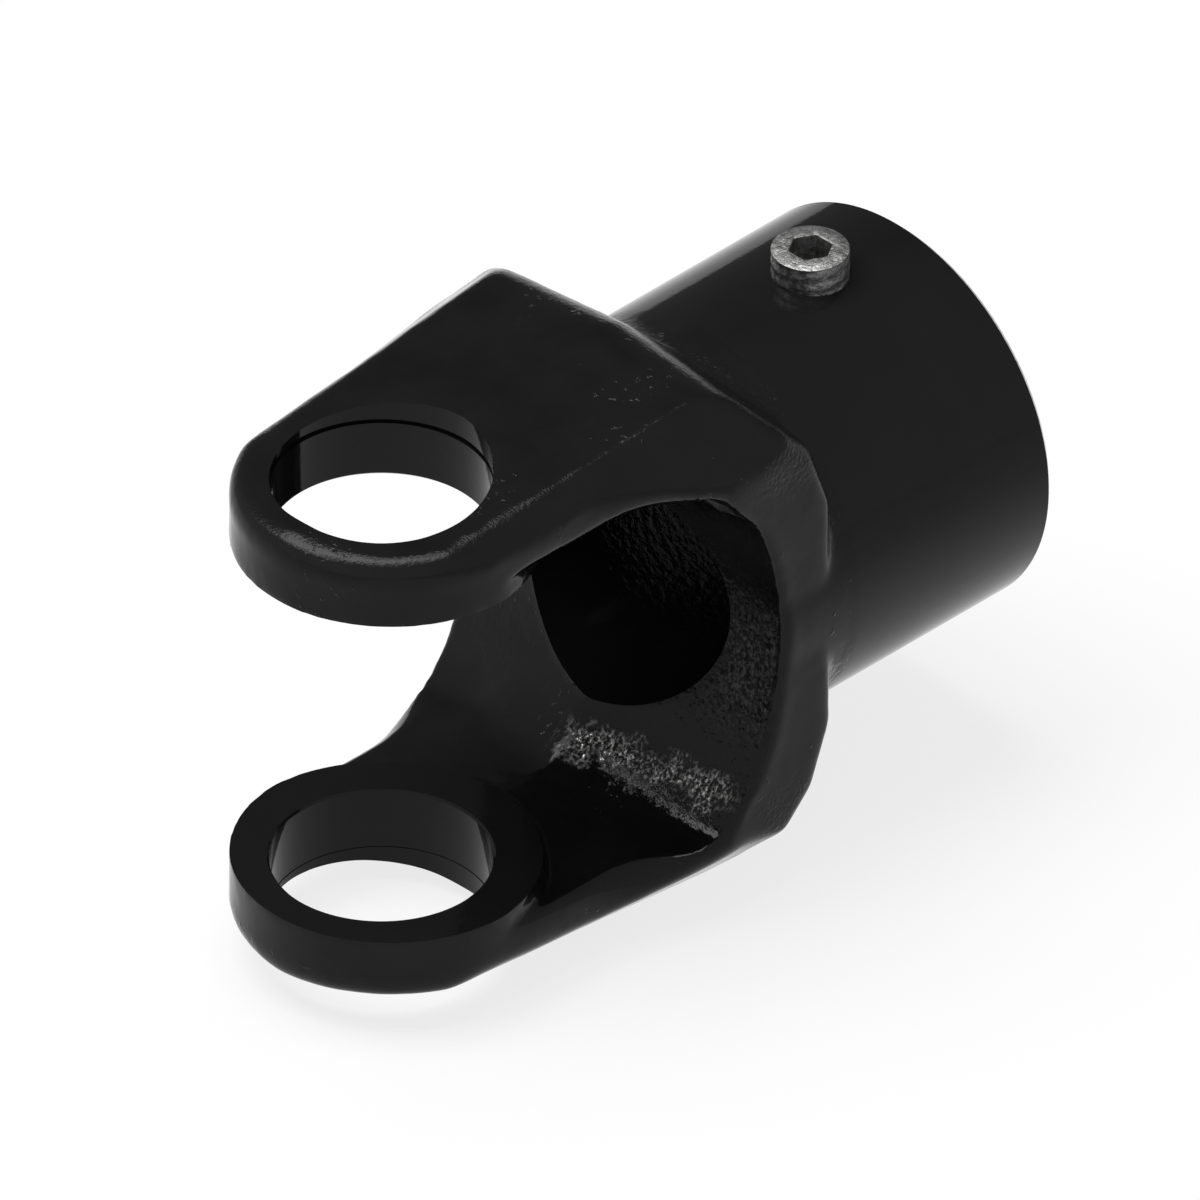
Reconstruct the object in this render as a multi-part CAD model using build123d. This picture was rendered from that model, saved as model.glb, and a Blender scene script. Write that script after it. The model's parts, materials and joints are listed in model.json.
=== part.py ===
from build123d import *
import math
import os

os.makedirs("parts", exist_ok=True)

# All sizes in mm. Origin: where the cross axis (Z) meets the shaft axis (X).
# +X runs to the hub end, +Z through the upper ear. The dies parted on Y = 0.

# Shaft hub
hub_r = 26.0
hub_end = 87.5
hub_root = 37.0
hub_edge = 0.4
shaft_r = 17.465
key_width = 7.94
key_depth = 3.97

# Ears
cross_bore_r = 13.45
boss_wall = 5.95
boss_r = cross_bore_r + boss_wall
boss_root = 4.0
face_gap = 46.2
ear_thickness = 10.38
ear_top = face_gap / 2 + ear_thickness
ear_tilt = 0.0757
outer_draft = 4.1
tip_inset = 0.05
tip_r = boss_r - tip_inset
tip_x = 1.55

# Ring grooves in the cross bores
ring_cover = 2.88
ring_seat = ear_top - ring_cover
ring_width = 0.8
ring_depth = 0.7

# Body between the ears and the hub
ear_flare = 0.85
ear_side = tip_r + ear_flare
ear_side_x = 18.0
flank_inset = 0.35
body_side = hub_r - flank_inset
shoulder_x = 39.0
flank_lead = 5.0
body_side_x = shoulder_x - flank_lead
back_run = 12.2
body_end = shoulder_x + back_run
corner_rise = 8.72
corner_reach = hub_r + corner_rise
corner_tilt = 0.0764
corner_run = 7.0
corner_x = shoulder_x + corner_run
corner_fall = 1.9

# Forged rounding radii
edge_round = 2.6
corner_round = 2.8
back_round = 2.0
root_round = 1.5
shoulder_round = 10.0
waist_round = 25.0
flank_round = 12.0

# Throat between the ears, wider at both open sides for die draft
face_stand = 0.7
throat_half = face_gap / 2 + face_stand
throat_reach = 39.2
throat_corner = 13.7
mouth_y = 30.0
mouth_rise = 2.5
mouth_half = throat_half + mouth_rise
mouth_flare = 3.9
mouth_reach = throat_reach + mouth_flare
mouth_corner = 7.6

# Lip bevel along the inner ear edges
lip_depth = 3.68
lip_reach = (face_gap / 2 + lip_depth - ear_side) / math.sqrt(2)
lip_end_x = 24.5
lip_stop = 2.8
lip_drop = 7.65
lip_round = 24.0

# Set screw and its hole
screw_inset = 15.0
screw_x = hub_end - screw_inset
screw_r = 9.525 / 2
screw_gap = 0.05
screw_length = 9.525
screw_stand = 3.64
screw_top = hub_r + screw_stand
socket_across = 4.76
socket_depth = 4.8
head_bevel = 0.7
point_bevel = 1.2
cup_r = 2.4
cup_depth = 1.44

# Reach of the cutting shapes past the metal, and of the profiles below the hub's surface
far = 60.0
margin = 8.0
sunk = 6.0
start_x = tip_x - tip_r - margin
low = hub_r - sunk
upward = (Align.CENTER, Align.CENTER, Align.MIN)

# Distance within which a point counts as on a plane, and the least angle of a crease
touch = 0.01
crease_angle = 12


def top_at(x):
    return ear_top + ear_tilt * x


def upright(points):
    return Plane.XZ * make_face(Polyline(*points, close=True))


def creases(body, where):
    found = []
    for edge in body.edges():
        middle = edge @ 0.5
        if middle.Y < touch or middle.Z < touch or not where(middle):
            continue
        faces = [f for f in body.faces() if any(edge.is_same(e) for e in f.edges())]
        first, second = (f.normal_at(middle) for f in faces)
        if first.get_angle(second) > crease_angle:
            found.append(edge)
    return found


def side_quarter():
    crest = top_at(shoulder_x)
    end = shoulder_x + crest - low
    outline = [
        (start_x, -low),
        (start_x, top_at(start_x)),
        (shoulder_x, crest),
        (end, low),
        (end, -low),
    ]
    face = make_face(Polyline(*outline, close=True))
    peak = face.vertices().sort_by(Axis.Y)[-1]
    face = fillet(peak, shoulder_round)
    return extrude(Plane.XZ * face, amount=-(hub_r + sunk), taper=outer_draft)


def plan_quarter():
    span = math.hypot(ear_side_x - tip_x, ear_side)
    turn = math.atan2(ear_side, ear_side_x - tip_x) + math.acos(tip_r / span)
    leave = (tip_x + tip_r * math.cos(turn), tip_r * math.sin(turn))
    front = (tip_x - tip_r, 0)
    middle = (tip_x - tip_r * math.sqrt(0.5), tip_r * math.sqrt(0.5))
    nose = ThreePointArc(front, middle, leave)
    rest = Polyline(
        leave,
        (ear_side_x, ear_side),
        (body_side_x, body_side),
        (body_end, body_side),
        (body_end, -margin),
        (front[0], -margin),
        front,
    )
    face = make_face([nose, rest])
    waist = [v for v in face.vertices() if abs(v.X - ear_side_x) < touch]
    face = fillet(waist, waist_round)
    flank = [v for v in face.vertices() if abs(v.X - body_side_x) < touch]
    face = fillet(flank, flank_round)
    return extrude(face, far)


def diagonal():
    first = corner_reach + corner_tilt * start_x
    crest = corner_reach + corner_tilt * corner_x
    end = corner_x + (crest - low) / corner_fall
    outline = [
        (start_x, -low),
        (start_x, first),
        (corner_x, crest),
        (end, low),
        (end, -low),
    ]
    return Rot(-45, 0, 0) * extrude(upright(outline), far, both=True)


def corner_cut():
    corner = (top_at(ear_side_x) + ear_side) / math.sqrt(2)
    return corner - corner_reach - corner_tilt * ear_side_x


def quadrant():
    return Box(4 * far, far, far, align=(Align.CENTER, Align.MIN, Align.MIN))


def rod(radius, start, end):
    return Plane.YZ.offset(start) * Cylinder(radius, end - start, align=upward)


def blank_quarter():
    body = side_quarter() & plan_quarter() & quadrant()
    rim = creases(body, lambda p: p.Z > low + touch and p.X < body_end - touch)
    body = fillet(rim, edge_round)
    body = body & diagonal()
    ridges = creases(body, lambda p: p.X < corner_x)
    body = fillet(ridges, min(corner_round, corner_cut()))
    back = creases(body, lambda p: p.X > corner_x)
    body = fillet(back, back_round)
    body = body + (rod(hub_r, hub_root, hub_end) & quadrant())
    root = creases(body, lambda p: corner_x < p.X < hub_end - touch)
    return fillet(root, root_round)


def throat_section(y, half, reach, corner):
    crown_x = math.sqrt(reach**2 - half**2)
    wall = Polyline((crown_x, half), (start_x, half), (start_x, -half), (crown_x, -half))
    crown = ThreePointArc((crown_x, -half), (reach, 0), (crown_x, half))
    face = make_face([wall, crown])
    sharp = [v for v in face.vertices() if v.X > 0]
    return Plane.XZ.offset(-y) * fillet(sharp, corner)


def throat_quarter():
    middle = throat_section(0, throat_half, throat_reach, throat_corner)
    mouth = throat_section(mouth_y, mouth_half, mouth_reach, mouth_corner)
    return loft([middle, mouth], ruled=True)


def lip():
    stop_x = throat_reach - lip_stop
    outline = [
        (start_x, lip_reach),
        (lip_end_x, lip_reach),
        (stop_x, lip_reach - lip_drop),
        (stop_x, -far),
        (start_x, -far),
    ]
    face = make_face(Polyline(*outline, close=True))
    bend = [v for v in face.vertices() if abs(v.X - lip_end_x) < touch]
    face = fillet(bend, lip_round)
    return Rot(45, 0, 0) * extrude(Plane.XZ * face, far, both=True)


def yoke_quarter():
    blank = blank_quarter()
    body = blank - throat_quarter() - lip()
    boss = Cylinder(boss_r, face_gap + 2 * boss_root) & blank
    return body + boss - Cylinder(boss_r + margin, face_gap)


def ring_grooves():
    groove = Pos(0, 0, ring_seat + ring_width / 2) * Cylinder(cross_bore_r + ring_depth, ring_width)
    return groove + mirror(groove, Plane.XY)


def keyway():
    crown = math.sqrt(shaft_r**2 - (key_width / 2) ** 2)
    length = hub_end - start_x
    slot = Box(length, key_width, crown + key_depth, align=(Align.MIN, Align.CENTER, Align.MIN))
    return Pos(start_x, 0, 0) * slot


def screw_hole():
    hole = Cylinder(screw_r + screw_gap, hub_r + margin, align=upward)
    return Pos(screw_x, 0, 0) * hole


def yoke():
    quarter = yoke_quarter()
    half = quarter + mirror(quarter, Plane.XZ)
    body = half + mirror(half, Plane.XY)
    body = body - Cylinder(cross_bore_r, 2 * far) - ring_grooves()
    body = body - rod(shaft_r, 0, hub_end + margin) - keyway()
    rims = [e for e in body.edges().filter_by(GeomType.CIRCLE) if abs(e.arc_center.X - hub_end) < touch]
    body = chamfer(rims, hub_edge)
    return body - screw_hole()


def set_screw():
    point = screw_top - screw_length
    outline = [
        (0, point + cup_depth),
        (cup_r, point),
        (screw_r - point_bevel, point),
        (screw_r, point + point_bevel),
        (screw_r, screw_top - head_bevel),
        (screw_r - head_bevel, screw_top),
        (0, screw_top),
    ]
    body = revolve(upright(outline), Axis.Z)
    hexagon = RegularPolygon(socket_across / 2, 6, major_radius=False)
    body = body - extrude(Pos(0, 0, screw_top - socket_depth) * hexagon, socket_depth + 1)
    return Pos(screw_x, 0, 0) * body


forged_yoke = yoke()
screw = set_screw()
export_step(forged_yoke, "parts/forged_yoke.step")
export_step(screw, "parts/set_screw.step")
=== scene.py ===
import json
import math

import bmesh
import bpy
import numpy as np
from mathutils import Matrix, Vector, noise

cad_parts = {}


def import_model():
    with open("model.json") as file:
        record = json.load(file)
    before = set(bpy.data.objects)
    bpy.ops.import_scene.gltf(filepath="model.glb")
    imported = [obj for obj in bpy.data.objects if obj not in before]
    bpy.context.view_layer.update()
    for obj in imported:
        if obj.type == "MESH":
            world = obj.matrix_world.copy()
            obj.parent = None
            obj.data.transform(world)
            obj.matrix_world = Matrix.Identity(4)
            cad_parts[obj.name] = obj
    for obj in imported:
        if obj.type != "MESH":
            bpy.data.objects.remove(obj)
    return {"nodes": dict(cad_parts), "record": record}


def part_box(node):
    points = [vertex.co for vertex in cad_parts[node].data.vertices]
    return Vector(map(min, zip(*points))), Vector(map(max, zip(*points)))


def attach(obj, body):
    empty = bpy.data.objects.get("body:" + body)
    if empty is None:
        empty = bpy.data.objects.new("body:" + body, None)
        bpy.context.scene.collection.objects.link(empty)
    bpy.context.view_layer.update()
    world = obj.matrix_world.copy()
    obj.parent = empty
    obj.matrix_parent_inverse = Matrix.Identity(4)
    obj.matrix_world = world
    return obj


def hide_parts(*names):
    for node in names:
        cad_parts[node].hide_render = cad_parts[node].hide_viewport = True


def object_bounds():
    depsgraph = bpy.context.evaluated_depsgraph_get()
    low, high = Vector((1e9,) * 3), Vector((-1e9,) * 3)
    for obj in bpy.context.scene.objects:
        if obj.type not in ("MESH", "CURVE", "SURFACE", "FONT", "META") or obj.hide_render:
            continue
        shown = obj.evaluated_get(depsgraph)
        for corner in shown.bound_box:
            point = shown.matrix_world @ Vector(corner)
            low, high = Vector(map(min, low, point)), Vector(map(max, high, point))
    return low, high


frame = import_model()
cad_low, cad_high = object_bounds()
record = frame["record"]
MM = 0.001


def mm(*sizes):
    """Sizes in millimetres as metres."""
    return tuple(size * MM for size in sizes)


# Sizes that come with the frame
mounts = {m["name"]: m for m in record["mounts"]}
EAR_BORE_R = mounts["ear_bores"]["dims"]["r_mm"] * MM
HUB_BORE_R = mounts["hub_bore"]["dims"]["r_mm"] * MM
HUB_R = cad_high.y
HUB_END = cad_high.x
screw_low, screw_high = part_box("set_screw")
SCREW_X = (screw_low.x + screw_high.x) / 2
SCREW_R = (screw_high.x - screw_low.x) / 2
SCREW_TOP = screw_high.z
SCREW_POINT = screw_low.z

# Machined sizes of the real part. The three edges are the widths of broken edges, and only faces past
# THROAT_FLOOR can be walls of the shaft bore or the keyway.
FACE_GAP = 46.2 * MM
SPOT_CUT_R = 27.4 * MM
GROOVE_SEAT = 30.6 * MM
GROOVE_WIDTH = 0.8 * MM
GROOVE_R = EAR_BORE_R + 0.7 * MM
KEY_HALF = 3.97 * MM
KEY_ROOF = 20.98 * MM
SCREW_HOLE_R = SCREW_R + 0.05 * MM
HUB_EDGE = 0.4 * MM
RIM_CHAMFER = 0.7 * MM
BORE_EDGE = 0.25 * MM
THROAT_FLOOR = 30 * MM

# How deep the ring grooves show, the lower one nearly filled with paint
UPPER_GROOVE = 0.4 * MM
LOWER_GROOVE = 0.08 * MM

# Where the turned outside of the hub starts, and how far below it its skin still counts as turned
TURNED_START = 53.0 * MM
TURNED_BLEND = 2.0 * MM
TURNED_DEPTH = 1.0 * MM

# Where the cutting shapes start inside the metal and how far they reach past it
BORE_START = 22 * MM
HOLE_START = 5 * MM
EAR_PAST = 5 * MM
HUB_PAST = 6 * MM
RIM_PAST = 4 * MM
TURN_STEPS = 192
HOLE_STEPS = 96

# How the forging is meshed and evened out. ALLOWANCE is the stock left on the cut faces, END_DEPTH
# how far from the hub's end its open rim may lie, and SAME how close counts as the same place. A
# pass of smoothing moves the points by the shares INWARD and OUTWARD, and the creases are angles
# in degrees from which an edge is shaded sharp.
VOXEL = 0.62 * MM
ALLOWANCE = 0.8 * MM
END_DEPTH = 2 * MM
MERGE = 0.002 * MM
SAME = 0.02 * MM
SMOOTH_PASSES = 8
LIP_PASSES = 40
NOSE_PASSES = 150
INWARD = 0.5
OUTWARD = -0.52
YOKE_CREASE = 30
SCREW_CREASE = 40

# Softened parts of the forging: how far along the axis, across it and above or below it they lie.
# Two edges are a change from one side to the other, four are a band that fades at both ends.
LIP_X = mm(3, 7, 47, 49)
LIP_Z = mm(11, 14, 29, 31)
LIP_SIDE_X = mm(28, 31)
LIP_SIDE_Y = mm(16, 20)
LIP_SIDE_Z = mm(14, 17)
LIP_END = 48 * MM
NOSE_X = mm(6, 16)
NOSE_Z = mm(26, 29)

# The throat's corners: how much is added and taken off, the place along and above the axis, how
# far round it, where it sets in across, and the direction of the move forward and inward
CORNER_FILL = 1.7 * MM
FILL_PLACE = mm(38, 24.5)
FILL_REACH = 4 * MM
FILL_Y = mm(-6, 24)
CORNER_CUT = 1.8 * MM
CUT_PLACE = mm(30.5, 22)
CUT_REACH = 4.5 * MM
CUT_Y = mm(10, 20)
CORNER_SLOPE = (0.6, 0.8)

# Dents of the forging: waves per metre and depth, how far the skin lies below its true size, and
# how the fine dents are built up of octaves
FINE_DENTS = 260
FINE_DEPTH = 0.035 * MM
WIDE_DENTS = 75
WIDE_DEPTH = 0.07 * MM
SUNK = 0.05 * MM
DENT_FALL = 0.9
DENT_STEP = 2.1
DENT_OCTAVES = 3

# Set screw: a coarse thread of 16 turns to the inch, its bevelled ends, its hexagon socket and its
# cup. TIP_R is the radius at which the rings of points close.
PITCH = 1.5875 * MM
THREAD_DEPTH = 0.07 * MM
CREST_SHARE = 0.12
HEAD_BEVEL = 0.22 * MM
HEAD_FLAT_R = 3.9 * MM
POINT_BEVEL = 1.2 * MM
SOCKET_HALF = 2.38 * MM
SOCKET_DEPTH = 4.8 * MM
SOCKET_EDGE = 0.12 * MM
SOCKET_CONE = 0.5 * MM
SOCKET_RIM_R = SOCKET_HALF * 1.2
CUP_R = 2.4 * MM
CUP_DEPTH = 1.44 * MM
TIP_R = 0.02 * MM
SCREW_STEPS = 144
SCREW_ROWS = 132

# The rough bottom of the throat
ROUGH_X = mm(29, 32.5)
ROUGH_Y = mm(23.5, 25.5)
ROUGH_Z = mm(23.5, 25)
ROUGH_NEAR_Y = mm(-14, -4)
ROUGH_NEAR_SHARE = 0.2

# Painted glints: light metallic patches on the noise's crests in the throat's corners and, weaker, on its
# near wall, with ragged edges, which stand in for the glitter of a highlight there
GLINT_X = mm(28, 31, 37, 38)
GLINT_Z = mm(19, 21, 21.8, 23.2)
GLINT_RIGHT_Y = mm(-25, -21)
GLINT_LEFT_Y = mm(-2, 2.5)
WALL_X = mm(34, 37, 43.5, 44.5)
WALL_Y = mm(-25, -24, -19, -14)
WALL_Z = mm(-16, -11, -3, 6)
WALL_SHARE = 0.16
RAGGED = 1.2 * MM
CREST_FULL = 0.9
CREST_LEVELS = (0.47, 0.62)

# The worn rounding of the ears, by how far its skin faces up or down, and the torn shoulder
ROUNDING_UP = (0.6, 0.75, 0.975, 0.994)
ROUNDING_Z = mm(26, 28)
ROUNDING_X = mm(5, 17)
NOSE_WEAR = 0.8
REST_WEAR = 0.2
SHOULDER_X = mm(35, 41, 51, 53)
SHOULDER_Z = mm(19, 23)
SHOULDER_WEAR = 0.8

# The hammered part of the shaft bore
HAMMERED_X = mm(46, 56, 66, 76)
HAMMERED_R = (HUB_BORE_R, HUB_BORE_R + 1 * MM)
HAMMERED_FULL = 0.9

# Noise: waves per metre, detail, roughness and stretch
CLOUD_NOISE = (90, 5)
GLOSS_NOISE = (420, 6)
SCALE_NOISE = (700, 3, 0.5)
GRAIN_NOISE = (2400, 3, 0.6)
SPECK_NOISE = (1000, 2, 0.5)
CLUSTER_NOISE = (95, 2, 0.5)
HAMMER_NOISE = (1050, 3, 0.55, (1, 1, 0.6))
RAGGED_NOISE = (330, 3, 0.6)
CREST_NOISE = (2100, 4, 0.65, (1, 1, 0.7))
WORN_NOISE = (1900, 3, 0.65)
TORN_NOISE = (1700, 3, 0.6)
TURNED_CLOUD_NOISE = (60, 4)
TURNED_GLOSS_NOISE = (300, 5)
PEEL_NOISE = (900, 2, 0.5)
EDGE_CLOUD_NOISE = (800, 4)
EDGE_GLOSS_NOISE = (1400, 4)
STEEL_NOISE = (1100, 5, 0.65)
THREAD_TONE_NOISE = (900, 4)
STEEL_GLOSS_NOISE = (1500, 4)
STEEL_PIT_NOISE = (1500, 4, 0.65)

# Heights of the skin's layers: distance and, where it is the same all over, strength
SCALE_HEIGHT = (0.08 * MM, 0.2)
GRAIN_HEIGHT = (0.03 * MM, 0.2)
GLINT_HEIGHT = (0.15 * MM, 0.6)
PEEL_HEIGHT = (0.03 * MM, 0.3)
STEEL_HEIGHT = (0.25 * MM, 0.7)
SPECK_HEIGHT = 0.2 * MM
HAMMER_HEIGHT = 0.24 * MM
WORN_HEIGHT = 0.1 * MM
TORN_HEIGHT = 0.16 * MM

# Where the noise counts as a speck and as a cluster of specks
SPECK_LEVELS = (0.63, 0.79)
CLUSTER_LEVELS = (0.53, 0.66)
CLUSTER_FULL = 0.6

# The paint's refraction is low, so that the plain level of the white floor shows in it as dark grey
PAINT_IOR = 1.25
PAINT_GLOSS = (0.06, 0.13)
PAINT_DARK = (0.0048, 0.0048, 0.0051)
PAINT_LIGHT = (0.0085, 0.0083, 0.0083)
TURNED_GLOSS = (0.05, 0.10)
TURNED_DARK = (0.0062, 0.0062, 0.0065)
TURNED_LIGHT = (0.0080, 0.0079, 0.0080)
# A light metallic colour for the painted glints in the throat
GLINT_METAL = (0.42, 0.42, 0.41)

# Light steel on the hub's outer rim, a painted highlight for its bright edge line, and steel on the screw.
# EDGE_FACING is how far the rim's faces look along the axis, and BRIGHT_HEAD gives the heights between
# which the thread's darker tone ends.
EDGE_GLOSS = (0.25, 0.45)
EDGE_DARK = (0.30, 0.30, 0.30)
EDGE_LIGHT = (0.62, 0.62, 0.61)
EDGE_FACING = (0.3, 0.9)
STEEL_GLOSS = (0.36, 0.52)
STEEL_DARK = (0.12, 0.12, 0.118)
STEEL_LIGHT = (0.40, 0.40, 0.395)
THREAD_TONE_DARK = (0.08, 0.08, 0.08)
THREAD_TONE_LIGHT = (0.36, 0.36, 0.355)
BRIGHT_HEAD = (SCREW_TOP - 0.32 * MM, SCREW_TOP - 0.25 * MM)

# The picture is a parallel view, 1200 pixels wide at 8.37 pixels to the millimetre
PICTURE = 1200 / 8.37 * MM
CENTRE_RIGHT = 26.13 * MM
CENTRE_UP = 11.61 * MM
CAMERA_BACK = 0.6

# The floor. FLOOR_RIGHT and FLOOR_BACK are where the middle of the picture falls on it, and
# GREY_BESIDE and GREY_BEHIND how far from there it turns from white to pale grey.
FLOOR_DROP = 0.2 * MM
FLOOR_HALF = 3.0
FLOOR_RIGHT = 26.1 * MM
FLOOR_BACK = 71.4 * MM
GREY_BESIDE = mm(76, 150)
GREY_BEHIND = mm(130, 320)
# The floor's far colours are a painted shade: the floor turns grey away from the picture, which also dims
# its reflection in the paint
FLOOR_NEAR = (0.93, 0.93, 0.93)
FLOOR_PAINTED_SHADE = (0.6, 0.6, 0.6)
GLOW_NEAR = (1, 1, 1)
GLOW_PAINTED_SHADE = (0.8, 0.8, 0.8)

# Share of the floor's white that doesn't come from the lamps
FLOOR_GLOW = 0.8

# The studio: light that falls all round, how white the room looks toward its dim side, and a lamp
# overhead, whose length and width are angles in degrees as seen from the object
FILL = 0.3
DIM_SIDE = (0.80, 0.59, 0.08)
ROOM_LEVELS = ((0.0, 1.0), (0.5, 0.74), (0.75, 0.46), (0.9, 0.15), (1.0, 0.10))
LAMP_DISTANCE = 0.8
LAMP_DIRECTION = (-0.11, 0.27, 0.957)
LAMP_ALONG = (-0.8, 0.6, 0)
LAMP_LENGTH = 54
LAMP_WIDTH = 33
LAMP_RADIANCE = 5.2


def node_material(name):
    """A new material, its node tree and its Principled shader."""
    material = bpy.data.materials.new(name)
    material.use_nodes = True
    return material, material.node_tree, material.node_tree.nodes["Principled BSDF"]


def noise_node(tree, scale, detail=4.0, rough=0.55, stretch=(1, 1, 1)):
    """Noise in the object's own space, scale in waves per metre."""
    place = tree.nodes.new("ShaderNodeTexCoord")
    mapping = tree.nodes.new("ShaderNodeMapping")
    mapping.inputs["Scale"].default_value = stretch
    texture = tree.nodes.new("ShaderNodeTexNoise")
    texture.inputs["Scale"].default_value = scale
    texture.inputs["Detail"].default_value = detail
    texture.inputs["Roughness"].default_value = rough
    tree.links.new(place.outputs["Object"], mapping.inputs["Vector"])
    tree.links.new(mapping.outputs["Vector"], texture.inputs["Vector"])
    return texture.outputs["Fac"]


def spread(tree, value, low, high, start=0.3, stop=0.7):
    """value from start..stop mapped to low..high."""
    node = tree.nodes.new("ShaderNodeMapRange")
    node.inputs["From Min"].default_value = start
    node.inputs["From Max"].default_value = stop
    node.inputs["To Min"].default_value = low
    node.inputs["To Max"].default_value = high
    tree.links.new(value, node.inputs["Value"])
    return node.outputs["Result"]


def math_node(tree, operation, *values):
    """The result of one Math node, each value a number or made by another node."""
    node = tree.nodes.new("ShaderNodeMath")
    node.operation = operation
    for socket, value in zip(node.inputs, values):
        if isinstance(value, (int, float)):
            socket.default_value = value
        else:
            tree.links.new(value, socket)
    return node.outputs[0]


def times(tree, first, *others):
    for value in others:
        first = math_node(tree, "MULTIPLY", first, value)
    return first


def size_of(tree, value):
    return math_node(tree, "ABSOLUTE", value)


def band(tree, value, edges, full=1):
    """full between the second and the third of four edges, fading to 0 at the first and the last."""
    rise = spread(tree, value, 0, full, *edges[:2])
    return times(tree, rise, spread(tree, value, 1, 0, *edges[2:]))


def blend_colours(tree, value, first, second):
    """A mix of two colours, each three numbers or made by another node."""
    node = tree.nodes.new("ShaderNodeMix")
    node.data_type = "RGBA"
    for name, colour in (("A", first), ("B", second)):
        if isinstance(colour, tuple):
            node.inputs[name].default_value = (*colour, 1)
        else:
            tree.links.new(colour, node.inputs[name])
    tree.links.new(value, node.inputs["Factor"])
    return node.outputs["Result"]


def clouded(tree, pattern, first, second):
    """Two colours that change into each other with the noise."""
    return blend_colours(tree, spread(tree, noise_node(tree, *pattern), 0, 1), first, second)


def mix_shaders(tree, share, first, second, output):
    mix = tree.nodes.new("ShaderNodeMixShader")
    tree.links.new(share, mix.inputs["Fac"])
    tree.links.new(first.outputs[0], mix.inputs[1])
    tree.links.new(second.outputs[0], mix.inputs[2])
    tree.links.new(mix.outputs[0], tree.nodes[output].inputs["Surface"])


def bumps(tree, shader, layers):
    """Bump from several heights, each (value, distance in metres, strength)."""
    before = None
    for value, distance, strength in layers:
        node = tree.nodes.new("ShaderNodeBump")
        node.inputs["Distance"].default_value = distance
        if isinstance(strength, float):
            node.inputs["Strength"].default_value = strength
        else:
            tree.links.new(strength, node.inputs["Strength"])
        tree.links.new(value, node.inputs["Height"])
        if before is not None:
            tree.links.new(before, node.inputs["Normal"])
        before = node.outputs["Normal"]
    tree.links.new(before, shader.inputs["Normal"])


def axes_of(tree, kind="Object"):
    """The point's own x, y and z, or those of its normal."""
    place = tree.nodes.new("ShaderNodeTexCoord")
    split = tree.nodes.new("ShaderNodeSeparateXYZ")
    tree.links.new(place.outputs[kind], split.inputs["Vector"])
    return split.outputs["X"], split.outputs["Y"], split.outputs["Z"]


def inside_throat(tree):
    """1 at the bottom of the throat, which the die left rough, and 0 on the outside and the ears."""
    along, across, height = axes_of(tree)
    deep = spread(tree, along, 0, 1, *ROUGH_X)
    between = spread(tree, size_of(tree, height), 1, 0, *ROUGH_Z)
    inner = spread(tree, size_of(tree, across), 1, 0, *ROUGH_Y)
    near = spread(tree, across, 1, ROUGH_NEAR_SHARE, *ROUGH_NEAR_Y)
    return times(tree, deep, between, inner, near)


def glint_patches(tree):
    """Painted glints: 1 on the noise's crests in the throat's corners and less on its near wall, where
    light metallic patches stand in for glitter.
    """
    along, across, level = axes_of(tree)
    ragged = spread(tree, noise_node(tree, *RAGGED_NOISE), -RAGGED, RAGGED)
    height = math_node(tree, "ADD", size_of(tree, level), ragged)
    right = spread(tree, across, 0, 1, *GLINT_RIGHT_Y)
    left = spread(tree, math_node(tree, "ADD", across, ragged), 1, 0, *GLINT_LEFT_Y)
    corner = times(tree, band(tree, along, GLINT_X), band(tree, height, GLINT_Z), left, right)
    middle = band(tree, math_node(tree, "ADD", level, ragged), WALL_Z)
    wall = times(tree, band(tree, along, WALL_X), band(tree, across, WALL_Y, WALL_SHARE), middle)
    crests = spread(tree, noise_node(tree, *CREST_NOISE), 0, CREST_FULL, *CREST_LEVELS)
    return times(tree, math_node(tree, "ADD", corner, wall), crests)


def on_rounding(tree):
    """High on the rounded upper and lower edges of the ears, where the die was worn, most at the nose."""
    upward = size_of(tree, axes_of(tree, "Normal")[2])
    along, _, height = axes_of(tree)
    outer = spread(tree, size_of(tree, height), 0, 1, *ROUNDING_Z)
    wear = spread(tree, along, NOSE_WEAR, REST_WEAR, *ROUNDING_X)
    return times(tree, band(tree, upward, ROUNDING_UP), outer, wear)


def at_shoulder(tree):
    """High on the crest of the shoulder and down to the hub, above and below, and 0 elsewhere."""
    along, _, height = axes_of(tree)
    outer = spread(tree, size_of(tree, height), 0, 1, *SHOULDER_Z)
    return times(tree, outer, band(tree, along, SHOULDER_X, SHOULDER_WEAR))


def in_bore(tree):
    """1 half way along the wall of the hub's bore, and 0 elsewhere."""
    along, across, height = axes_of(tree)
    low = spread(tree, size_of(tree, across), 1, 0, *HAMMERED_R)
    inner = spread(tree, size_of(tree, height), 1, 0, *HAMMERED_R)
    return times(tree, band(tree, along, HAMMERED_X), low, inner)


def hammer_marks(tree, where):
    """The layer of small dents for bumps(), as strong as where says."""
    return noise_node(tree, *HAMMER_NOISE), HAMMER_HEIGHT, spread(tree, where, 0, HAMMERED_FULL, 0, 1)


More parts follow.
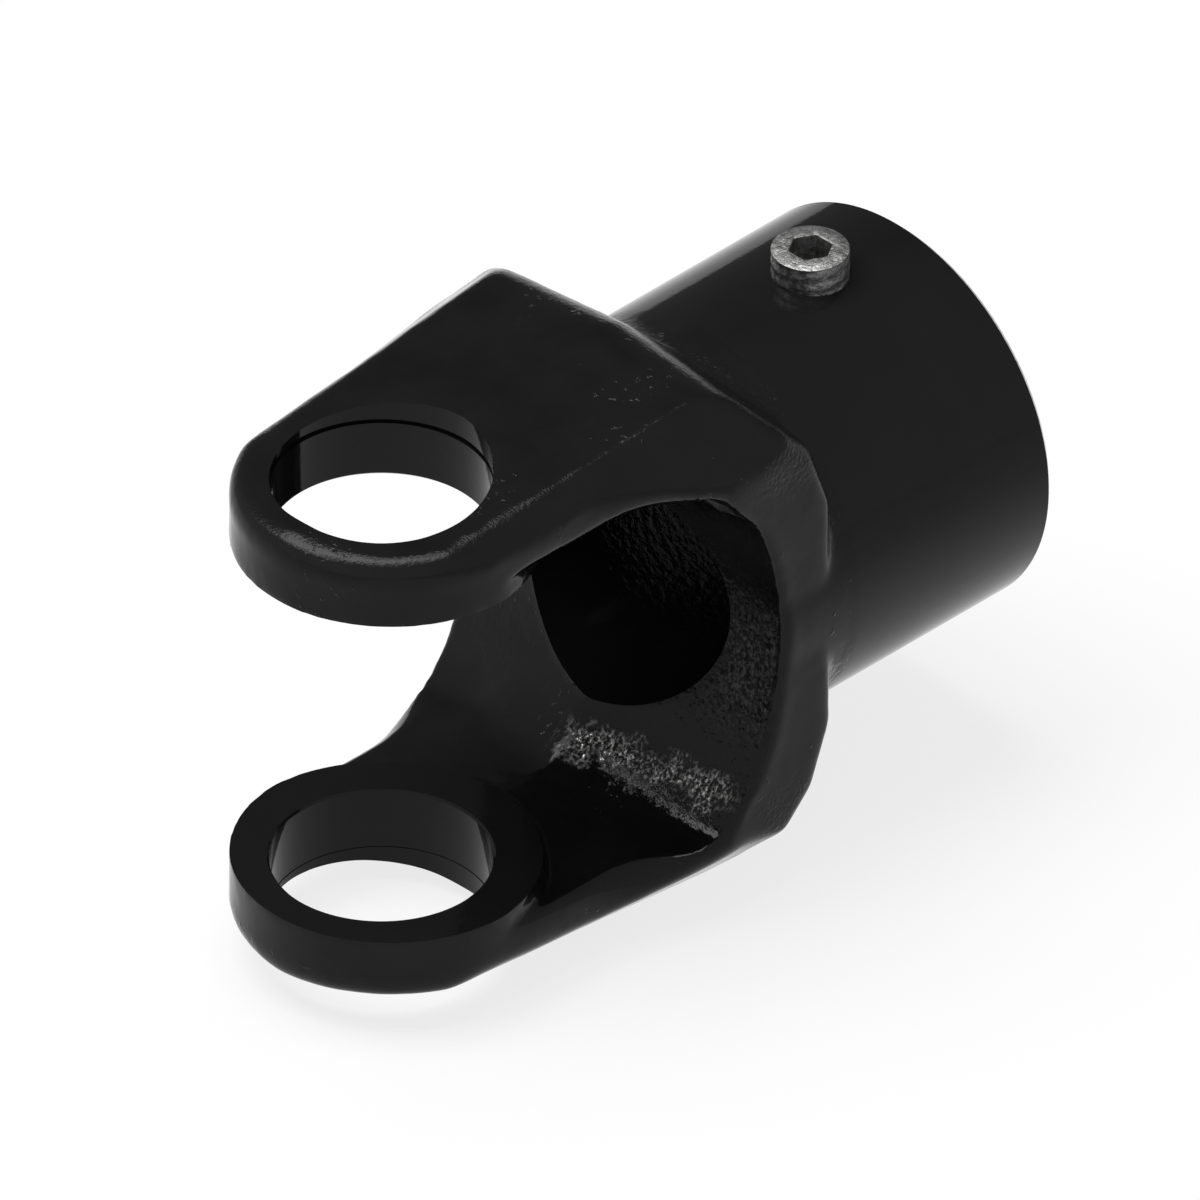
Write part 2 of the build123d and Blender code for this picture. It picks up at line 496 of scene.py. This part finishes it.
def forged_paint():
    """Glossy black paint over the scaly skin of the forging."""
    material, tree, shader = node_material("forged_paint")
    shader.inputs["IOR"].default_value = PAINT_IOR
    # Painted glints: light metallic patches in the throat, mixed into the paint's colour and made metallic
    glints = glint_patches(tree)
    black = clouded(tree, CLOUD_NOISE, PAINT_DARK, PAINT_LIGHT)
    tree.links.new(blend_colours(tree, glints, black, GLINT_METAL), shader.inputs["Base Color"])
    tree.links.new(glints, shader.inputs["Metallic"])
    gloss = spread(tree, noise_node(tree, *GLOSS_NOISE), *PAINT_GLOSS)
    tree.links.new(gloss, shader.inputs["Roughness"])
    specks = spread(tree, noise_node(tree, *SPECK_NOISE), 0, 1, *SPECK_LEVELS)
    clusters = spread(tree, noise_node(tree, *CLUSTER_NOISE), 0, CLUSTER_FULL, *CLUSTER_LEVELS)
    bumps(tree, shader, [
        (noise_node(tree, *SCALE_NOISE), *SCALE_HEIGHT),
        (noise_node(tree, *GRAIN_NOISE), *GRAIN_HEIGHT),
        (specks, SPECK_HEIGHT, clusters),
        hammer_marks(tree, inside_throat(tree)),
        (glints, *GLINT_HEIGHT),
        (noise_node(tree, *WORN_NOISE), WORN_HEIGHT, on_rounding(tree)),
        (noise_node(tree, *TORN_NOISE), TORN_HEIGHT, at_shoulder(tree)),
    ])
    return material


def turned_paint():
    """The same paint over turned and bored faces."""
    material, tree, shader = node_material("turned_paint")
    shader.inputs["IOR"].default_value = PAINT_IOR
    black = clouded(tree, TURNED_CLOUD_NOISE, TURNED_DARK, TURNED_LIGHT)
    tree.links.new(black, shader.inputs["Base Color"])
    gloss = spread(tree, noise_node(tree, *TURNED_GLOSS_NOISE), *TURNED_GLOSS)
    tree.links.new(gloss, shader.inputs["Roughness"])
    bumps(tree, shader, [
        (noise_node(tree, *PEEL_NOISE), *PEEL_HEIGHT),
        hammer_marks(tree, in_bore(tree)),
    ])
    return material


def rim_highlight_steel():
    """Light steel on the hub's outer rim, a painted highlight that gives the rim its bright edge line."""
    material, tree, shader = node_material("rim_highlight_steel")
    shader.inputs["Metallic"].default_value = 1.0
    tree.links.new(clouded(tree, EDGE_CLOUD_NOISE, EDGE_DARK, EDGE_LIGHT), shader.inputs["Base Color"])
    gloss = spread(tree, noise_node(tree, *EDGE_GLOSS_NOISE), *EDGE_GLOSS)
    tree.links.new(gloss, shader.inputs["Roughness"])
    return material


def screw_steel():
    """Plain steel on the head of the set screw, and a darker tone on its thread."""
    material, tree, shader = node_material("screw_steel")
    shader.inputs["Metallic"].default_value = 1.0
    steel = clouded(tree, STEEL_NOISE, STEEL_DARK, STEEL_LIGHT)
    # The thread's colour is darker than the head's
    thread_tone = clouded(tree, THREAD_TONE_NOISE, THREAD_TONE_DARK, THREAD_TONE_LIGHT)
    head = spread(tree, axes_of(tree)[2], 0, 1, *BRIGHT_HEAD)
    tree.links.new(blend_colours(tree, head, thread_tone, steel), shader.inputs["Base Color"])
    gloss = spread(tree, noise_node(tree, *STEEL_GLOSS_NOISE), *STEEL_GLOSS)
    tree.links.new(gloss, shader.inputs["Roughness"])
    bumps(tree, shader, [(noise_node(tree, *STEEL_PIT_NOISE), *STEEL_HEIGHT)])
    return material


def seen_directly(tree):
    """1 for camera, glossy and transmission rays, 0 for rays that light a surface."""
    path = tree.nodes.new("ShaderNodeLightPath")
    value = path.outputs["Is Camera Ray"]
    for name in ("Is Glossy Ray", "Is Transmission Ray"):
        value = math_node(tree, "MAXIMUM", value, path.outputs[name])
    return value


def floor_reach(tree, sign, middle):
    """How far a point of the floor lies to one side of the middle of the picture, or behind it."""
    along, across, _ = axes_of(tree)
    turned = math_node(tree, "MULTIPLY_ADD", across, sign, along)
    return math_node(tree, "MULTIPLY_ADD", turned, math.sqrt(0.5), -middle)


def floor_white():
    """White to the eye, with a faint shadow under the object, and a painted shade of pale grey well outside
    the picture.
    """
    material, tree, shader = node_material("floor_white")
    shader.inputs["Roughness"].default_value = 0.9
    shader.inputs["Specular IOR Level"].default_value = 0.0
    beside = spread(tree, size_of(tree, floor_reach(tree, -1, FLOOR_RIGHT)), 0, 1, *GREY_BESIDE)
    behind = spread(tree, floor_reach(tree, 1, FLOOR_BACK), 0, 1, *GREY_BEHIND)
    # The painted shade of the floor, greyer beside and behind the picture
    far = math_node(tree, "MAXIMUM", beside, behind)
    tree.links.new(blend_colours(tree, far, FLOOR_NEAR, FLOOR_PAINTED_SHADE), shader.inputs["Base Color"])
    glow = tree.nodes.new("ShaderNodeEmission")
    tree.links.new(blend_colours(tree, far, GLOW_NEAR, GLOW_PAINTED_SHADE), glow.inputs["Color"])
    share = spread(tree, seen_directly(tree), 0, FLOOR_GLOW, 0, 1)
    mix_shaders(tree, share, shader, glow, "Material Output")
    return material


def new_object(name, mesh):
    made = bpy.data.objects.new(name, mesh)
    bpy.context.scene.collection.objects.link(made)
    return made


def mesh_of(name, points, faces):
    mesh = bpy.data.meshes.new(name)
    mesh.from_pydata([tuple(p) for p in points], [], faces)
    mesh.validate()
    return mesh


def ring_faces(rows, steps):
    """The faces of a closed solid whose points are rows of rings: its side, then both ends."""
    faces = []
    for row in range(rows - 1):
        low, high = row * steps, (row + 1) * steps
        for k in range(steps):
            after = (k + 1) % steps
            faces.append((low + k, low + after, high + after, high + k))
    faces.append(tuple(reversed(range(steps))))
    faces.append(tuple(range((rows - 1) * steps, rows * steps)))
    return faces


def lathe(name, profile, along, steps=TURN_STEPS):
    """A closed solid from a profile of (radius, height), turned about the Z or X axis."""
    points = []
    for radius, height in profile:
        for k in range(steps):
            turn = 2 * math.pi * k / steps
            side, up = radius * math.cos(turn), radius * math.sin(turn)
            points.append((side, up, height) if along == "Z" else (height, side, up))
    return new_object(name, mesh_of(name, points, ring_faces(len(profile), steps)))


def block(name, low, high):
    points = [(x, y, z) for x in (low[0], high[0]) for y in (low[1], high[1]) for z in (low[2], high[2])]
    faces = [(0, 1, 3, 2), (4, 6, 7, 5), (0, 4, 5, 1), (2, 3, 7, 6), (0, 2, 6, 4), (1, 5, 7, 3)]
    return new_object(name, mesh_of(name, points, faces))


def ear_cutter():
    """Both ear bores with their ring grooves, and the facing between the ears."""
    face = FACE_GAP / 2
    past = cad_high.z + EAR_PAST
    upper, lower = (
        [
            (SPOT_CUT_R, face),
            (EAR_BORE_R + BORE_EDGE, face),
            (EAR_BORE_R, face + BORE_EDGE),
            (EAR_BORE_R, GROOVE_SEAT),
            (EAR_BORE_R + depth, GROOVE_SEAT),
            (EAR_BORE_R + depth, GROOVE_SEAT + GROOVE_WIDTH),
            (EAR_BORE_R, GROOVE_SEAT + GROOVE_WIDTH),
            (EAR_BORE_R, past),
        ]
        for depth in (UPPER_GROOVE, LOWER_GROOVE)
    )
    lower = [(radius, -height) for radius, height in reversed(lower)]
    return lathe("ear_cutter", lower + upper, "Z")


def hub_cutter():
    """The shaft bore and the facing of the hub's end, with both rims broken."""
    facing = HUB_END - 2 * RIM_CHAMFER
    profile = [
        (HUB_BORE_R, BORE_START),
        (HUB_BORE_R, HUB_END - HUB_EDGE),
        (HUB_BORE_R + HUB_EDGE, HUB_END),
        (HUB_R - RIM_CHAMFER, HUB_END),
        (HUB_R + RIM_CHAMFER, facing),
        (HUB_R + RIM_PAST, facing),
        (HUB_R + RIM_PAST, HUB_END + HUB_PAST),
    ]
    return lathe("hub_cutter", profile, "X")


def key_cutter():
    return block("key_cutter", (BORE_START, -KEY_HALF, 0), (HUB_END + HUB_PAST, KEY_HALF, KEY_ROOF))


def hole_cutter():
    profile = [(SCREW_HOLE_R, HOLE_START), (SCREW_HOLE_R, HUB_R + EAR_PAST)]
    made = lathe("hole_cutter", profile, "Z", HOLE_STEPS)
    made.data.transform(Matrix.Translation((SCREW_X, 0, 0)))
    return made


def is_machined(face):
    """True for a wall of a bore, groove, keyway or screw hole, and for the hub's end."""
    points = [v.co for v in face.verts]
    past_throat = all(p.x > THROAT_FLOOR for p in points)
    in_ear = all(math.hypot(p.x, p.y) < GROOVE_R + SAME and abs(p.z) > FACE_GAP / 2 - SAME for p in points)
    in_hub = past_throat and all(math.hypot(p.y, p.z) < HUB_BORE_R + SAME for p in points)
    in_key = past_throat and all(abs(p.y) < KEY_HALF + SAME and 0 < p.z < KEY_ROOF + SAME for p in points)
    in_hole = all(math.hypot(p.x - SCREW_X, p.y) < SCREW_HOLE_R + SAME and p.z > 0 for p in points)
    at_end = all(p.x > HUB_END - HUB_EDGE - SAME for p in points)
    return in_ear or in_hub or in_key or in_hole or at_end


def close_loops(shape):
    """Closes each open loop with a fan about its middle."""
    open_edges = {e for e in shape.edges if len(e.link_faces) == 1}
    while open_edges:
        edge = open_edges.pop()
        loop = [edge.verts[0], edge.verts[1]]
        while True:
            after = [e for e in loop[-1].link_edges if e in open_edges]
            if not after:
                break
            open_edges.discard(after[0])
            loop.append(after[0].other_vert(loop[-1]))
        if loop[0] == loop[-1]:
            loop.pop()
        middle = shape.verts.new(sum((v.co for v in loop), Vector()) / len(loop))
        for first, second in zip(loop, loop[1:] + loop[:1]):
            shape.faces.new((first, second, middle))


def moved_points(grown):
    """The new points that a bmesh extrusion made."""
    return [made for made in grown["geom"] if isinstance(made, bmesh.types.BMVert)]


def unmachined():
    """The forging before any cutting: the CAD solid with its holes closed and stock left on its faces."""
    shape = bmesh.new()
    shape.from_mesh(frame["nodes"]["forged_yoke"].data)
    bmesh.ops.remove_doubles(shape, verts=shape.verts, dist=MERGE)
    walls = [f for f in shape.faces if is_machined(f)]
    bmesh.ops.delete(shape, geom=walls, context="FACES")
    rim = [e for e in shape.edges if len(e.link_faces) == 1 and e.verts[0].co.x > HUB_END - END_DEPTH]
    for v in moved_points(bmesh.ops.extrude_edge_only(shape, edges=rim)):
        v.co.x += 2 * ALLOWANCE
    close_loops(shape)
    faces = [f for f in shape.faces if all(abs(abs(v.co.z) - FACE_GAP / 2) < SAME for v in f.verts)]
    grown = bmesh.ops.extrude_face_region(shape, geom=faces)
    bmesh.ops.delete(shape, geom=[f for f in faces if f.is_valid], context="FACES_ONLY")
    for v in moved_points(grown):
        v.co.z -= math.copysign(ALLOWANCE, v.co.z)
    bmesh.ops.recalc_face_normals(shape, faces=shape.faces)
    mesh = bpy.data.meshes.new("blank")
    shape.to_mesh(mesh)
    shape.free()
    return new_object("blank", mesh)


def applied(made, *modifiers):
    """A fresh mesh of the object with its modifiers applied."""
    for kind, settings in modifiers:
        modifier = made.modifiers.new(kind, kind)
        for key, value in settings.items():
            setattr(modifier, key, value)
    result = bpy.data.meshes.new_from_object(made.evaluated_get(bpy.context.evaluated_depsgraph_get()))
    made.modifiers.clear()
    return result


def positions(mesh):
    flat = np.empty(len(mesh.vertices) * 3)
    mesh.vertices.foreach_get("co", flat)
    return flat.reshape(-1, 3)


def normals_of(mesh):
    flat = np.empty(len(mesh.vertices) * 3)
    mesh.vertices.foreach_get("normal", flat)
    return flat.reshape(-1, 3)


def place(mesh, points):
    mesh.vertices.foreach_set("co", points.ravel())
    mesh.update()


def smoothed(mesh, points, passes):
    """Evens out the mesh without shrinking it: each pass moves points in, then a little less far out."""
    edges = np.empty(len(mesh.edges) * 2, int)
    mesh.edges.foreach_get("vertices", edges)
    first, second = edges.reshape(-1, 2).T
    count = len(mesh.vertices)
    links = np.bincount(first, minlength=count) + np.bincount(second, minlength=count)
    for share in (INWARD, OUTWARD) * passes:
        total = np.zeros_like(points)
        for axis in range(3):
            total[:, axis] = np.bincount(first, points[second, axis], count)
            total[:, axis] += np.bincount(second, points[first, axis], count)
        points = points + share * (total / links[:, None] - points)
    return points


def ramp(values, start, stop):
    """0 up to start, 1 from stop on, and a smooth change between them."""
    share = np.clip((values - start) / (stop - start), 0, 1)
    return share * share * (3 - 2 * share)


def ramp_band(values, edges):
    """1 between the second and the third of four edges, fading to 0 at the first and the last."""
    return ramp(values, *edges[:2]) * (1 - ramp(values, *edges[2:]))


def near_lips(points):
    """1 along the rims of the throat, where the flash was ground off, and 0 elsewhere."""
    along, across, height = points[:, 0], np.abs(points[:, 1]), np.abs(points[:, 2])
    rim = ramp_band(height, LIP_Z) * ramp_band(along, LIP_X)
    side = (1 - ramp(height, *LIP_SIDE_Z)) * ramp(across, *LIP_SIDE_Y)
    return np.maximum(rim, side * ramp(along, *LIP_SIDE_X) * (along < LIP_END))


def near_nose(points):
    """1 round the outer edge of each ear's rounded end, which is rounder than the rest, and 0 elsewhere."""
    along, height = points[:, 0], np.abs(points[:, 2])
    return ramp(height, *NOSE_Z) * (1 - ramp(along, *NOSE_X))


def round_spot(points, middle, reach):
    """1 at a place along and off the axis, above and below alike, fading out with the distance from it."""
    along, height = points[:, 0] - middle[0], np.abs(points[:, 2]) - middle[1]
    return np.exp(-(np.hypot(along, height) / reach) ** 2)


def corners_eased(points):
    """The throat's corners as trimmed by hand: fuller on the viewer's side, sharper on the far side."""
    across, side = points[:, 1], np.sign(points[:, 2])
    filled = CORNER_FILL * round_spot(points, FILL_PLACE, FILL_REACH) * ramp(-across, *FILL_Y)
    trimmed = CORNER_CUT * round_spot(points, CUT_PLACE, CUT_REACH) * ramp(across, *CUT_Y)
    move = filled - trimmed
    forward, inward = CORNER_SLOPE
    return points - np.stack([forward * move, 0 * move, inward * move * side], axis=1)


def dents(points):
    """How far each point of the skin stands off its true place, fine dents and wide ones together."""
    return np.array([
        noise.fractal(Vector(p) * FINE_DENTS, DENT_FALL, DENT_STEP, DENT_OCTAVES) * FINE_DEPTH
        + noise.noise(Vector(p) * WIDE_DENTS) * WIDE_DEPTH
        - SUNK
        for p in points
    ])


def forged_skin(mesh):
    """Smooths the blank, trues the turned hub and gives the rest the dents of a hot forging."""
    points = smoothed(mesh, positions(mesh), SMOOTH_PASSES)
    points += near_lips(points)[:, None] * (smoothed(mesh, points, LIP_PASSES) - points)
    points = corners_eased(points)
    points += near_nose(points)[:, None] * (smoothed(mesh, points, NOSE_PASSES) - points)
    place(mesh, points)
    radius = np.hypot(points[:, 1], points[:, 2])
    turned = ramp(points[:, 0], TURNED_START, TURNED_START + TURNED_BLEND)
    turned *= (np.abs(radius - HUB_R) < TURNED_DEPTH)
    points = points + normals_of(mesh) * (dents(points) * (1 - turned))[:, None]
    points[:, 1:] *= 1 + (turned * (HUB_R / radius - 1))[:, None]
    place(mesh, points)


def cut(made, cutter):
    """made less cutter, with the cutter's material on the new faces."""
    for polygon in cutter.data.polygons:
        polygon.material_index = 1
    settings = {"operation": "DIFFERENCE", "object": cutter, "solver": "EXACT", "material_mode": "INDEX"}
    made.data = applied(made, ("BOOLEAN", settings))
    bpy.data.objects.remove(cutter)


def yoke_body(forged, turned, rim_highlight):
    """The whole forging, cut to size, with its forged skin, its turned faces and the painted highlight of
    light steel on the hub's outer rim.
    """
    blank = unmachined()
    remesh = {"mode": "VOXEL", "voxel_size": VOXEL, "use_smooth_shade": True}
    blank.data = applied(blank, ("REMESH", remesh))
    forged_skin(blank.data)
    blank.name = "yoke_body"
    cutters = [maker() for maker in (ear_cutter, hub_cutter, key_cutter, hole_cutter)]
    for made in (blank, *cutters):
        made.data.materials.append(forged)
        made.data.materials.append(turned)
    for cutter in cutters:
        cut(blank, cutter)
    blank.data.materials.append(rim_highlight)
    for polygon in blank.data.polygons:
        x, y, z = polygon.center
        # The outer rim's chamfer gets the light steel, a painted highlight, and the rest of the turned hub
        # gets the turned paint
        if x > TURNED_START + TURNED_BLEND and math.hypot(y, z) > HUB_R - TURNED_DEPTH:
            on_edge = EDGE_FACING[0] < polygon.normal.x < EDGE_FACING[1]
            polygon.material_index = 2 if on_edge else 1
    place(blank.data, np.clip(positions(blank.data), cad_low, cad_high))
    blank.data.shade_smooth()
    blank.data.set_sharp_from_angle(angle=math.radians(YOKE_CREASE))
    return blank


def thread_radius(turn, height):
    """Outer radius of the thread at an angle and a height above the point, with both ends bevelled."""
    phase = (height / PITCH - turn / (2 * math.pi)) % 1
    groove = min(1, max(0, (abs(phase - 0.5) * 2 - CREST_SHARE) / (1 - 2 * CREST_SHARE)))
    length = SCREW_TOP - SCREW_POINT
    low = SCREW_R - POINT_BEVEL + height
    high = HEAD_FLAT_R + (length - height) * (SCREW_R - HEAD_FLAT_R) / HEAD_BEVEL
    return min(SCREW_R - THREAD_DEPTH * groove, low, high)


def hexagon_radius(turn):
    """How far the socket's wall lies from the axis at an angle."""
    off = (turn + math.pi / 6) % (math.pi / 3) - math.pi / 6
    return SOCKET_HALF / math.cos(off)


def screw_body(steel):
    """The screw as rings of points: up the thread, over the top, down the socket, and the cup below."""
    length = SCREW_TOP - SCREW_POINT
    turns = [2 * math.pi * k / SCREW_STEPS for k in range(SCREW_STEPS)]
    rings = [[(TIP_R, CUP_DEPTH)] * SCREW_STEPS, [(CUP_R, 0)] * SCREW_STEPS]
    for row in range(SCREW_ROWS + 1):
        height = length * row / SCREW_ROWS
        rings.append([(thread_radius(t, height), height) for t in turns])
    rings.append([(SOCKET_RIM_R, length)] * SCREW_STEPS)
    rings.append([(hexagon_radius(t) + SOCKET_EDGE, length) for t in turns])
    rings.append([(hexagon_radius(t), length - SOCKET_EDGE) for t in turns])
    rings.append([(hexagon_radius(t), length - SOCKET_DEPTH + SOCKET_CONE) for t in turns])
    rings.append([(TIP_R, length - SOCKET_DEPTH)] * SCREW_STEPS)
    points = [
        (SCREW_X + radius * math.cos(t), radius * math.sin(t), SCREW_POINT + height)
        for ring in rings for t, (radius, height) in zip(turns, ring)
    ]
    faces = ring_faces(len(rings), SCREW_STEPS)
    made = new_object("threaded_screw", mesh_of("threaded_screw", points, faces))
    made.data.materials.append(steel)
    made.data.shade_smooth()
    made.data.set_sharp_from_angle(angle=math.radians(SCREW_CREASE))
    return made


def camera():
    """The photo's parallel view, from above and from the ears' end."""
    right = Vector((1, -1, 0)).normalized()
    up = Vector((1, 1, 2)).normalized()
    back = right.cross(up)
    spot = right * CENTRE_RIGHT + up * CENTRE_UP + back * CAMERA_BACK
    data = bpy.data.cameras.new("camera")
    data.type = "ORTHO"
    data.ortho_scale = PICTURE
    made = new_object("camera", data)
    made.matrix_world = Matrix((
        (right.x, up.x, back.x, spot.x),
        (right.y, up.y, back.y, spot.y),
        (right.z, up.z, back.z, spot.z),
        (0, 0, 0, 1),
    ))
    bpy.context.scene.camera = made


def overhead_lamp():
    """A long lamp over the object, facing its middle."""
    target = (cad_low + cad_high) / 2
    back = Vector(LAMP_DIRECTION).normalized()
    side = (Vector(LAMP_ALONG) - Vector(LAMP_ALONG).dot(back) * back).normalized()
    data = bpy.data.lights.new("overhead", "AREA")
    data.shape = "RECTANGLE"
    data.size = 2 * LAMP_DISTANCE * math.tan(math.radians(LAMP_LENGTH / 2))
    data.size_y = 2 * LAMP_DISTANCE * math.tan(math.radians(LAMP_WIDTH / 2))
    data.energy = 4 * LAMP_RADIANCE * data.size * data.size_y
    made = new_object("overhead", data)
    turn = Matrix((side, back.cross(side), back)).transposed()
    made.matrix_world = Matrix.Translation(target + back * LAMP_DISTANCE) @ turn.to_4x4()


def world():
    """A studio that is white round the viewer and dim on the far side of the object."""
    made = bpy.data.worlds.new("studio")
    bpy.context.scene.world = made
    made.use_nodes = True
    tree = made.node_tree
    room = tree.nodes["Background"]
    fill = tree.nodes.new("ShaderNodeBackground")
    fill.inputs["Strength"].default_value = FILL
    place = tree.nodes.new("ShaderNodeTexCoord")
    toward = tree.nodes.new("ShaderNodeVectorMath")
    toward.operation = "DOT_PRODUCT"
    toward.inputs[1].default_value = DIM_SIDE
    tree.links.new(place.outputs["Generated"], toward.inputs[0])
    levels = tree.nodes.new("ShaderNodeValToRGB")
    points = levels.color_ramp.elements
    while len(points) < len(ROOM_LEVELS):
        points.new(0.5)
    for point, (position, level) in zip(points, ROOM_LEVELS):
        point.position = position
        point.color = (level, level, level, 1)
    tree.links.new(spread(tree, toward.outputs["Value"], 0, 1, -1, 1), levels.inputs["Fac"])
    tree.links.new(levels.outputs["Color"], room.inputs["Color"])
    mix_shaders(tree, seen_directly(tree), fill, room, "World Output")


def floor():
    far = FLOOR_HALF
    corners = [(-far, -far, 0), (far, -far, 0), (far, far, 0), (-far, far, 0)]
    made = new_object("floor", mesh_of("floor", corners, [(0, 1, 2, 3)]))
    made.location.z = cad_low.z - FLOOR_DROP
    made.data.materials.append(floor_white())


camera()
world()
overhead_lamp()
floor()
bpy.context.scene.view_settings.view_transform = "Standard"

yoke = yoke_body(forged_paint(), turned_paint(), rim_highlight_steel())
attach(yoke, "yoke")
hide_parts("forged_yoke")

screw = screw_body(screw_steel())
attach(screw, "screw")
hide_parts("set_screw")
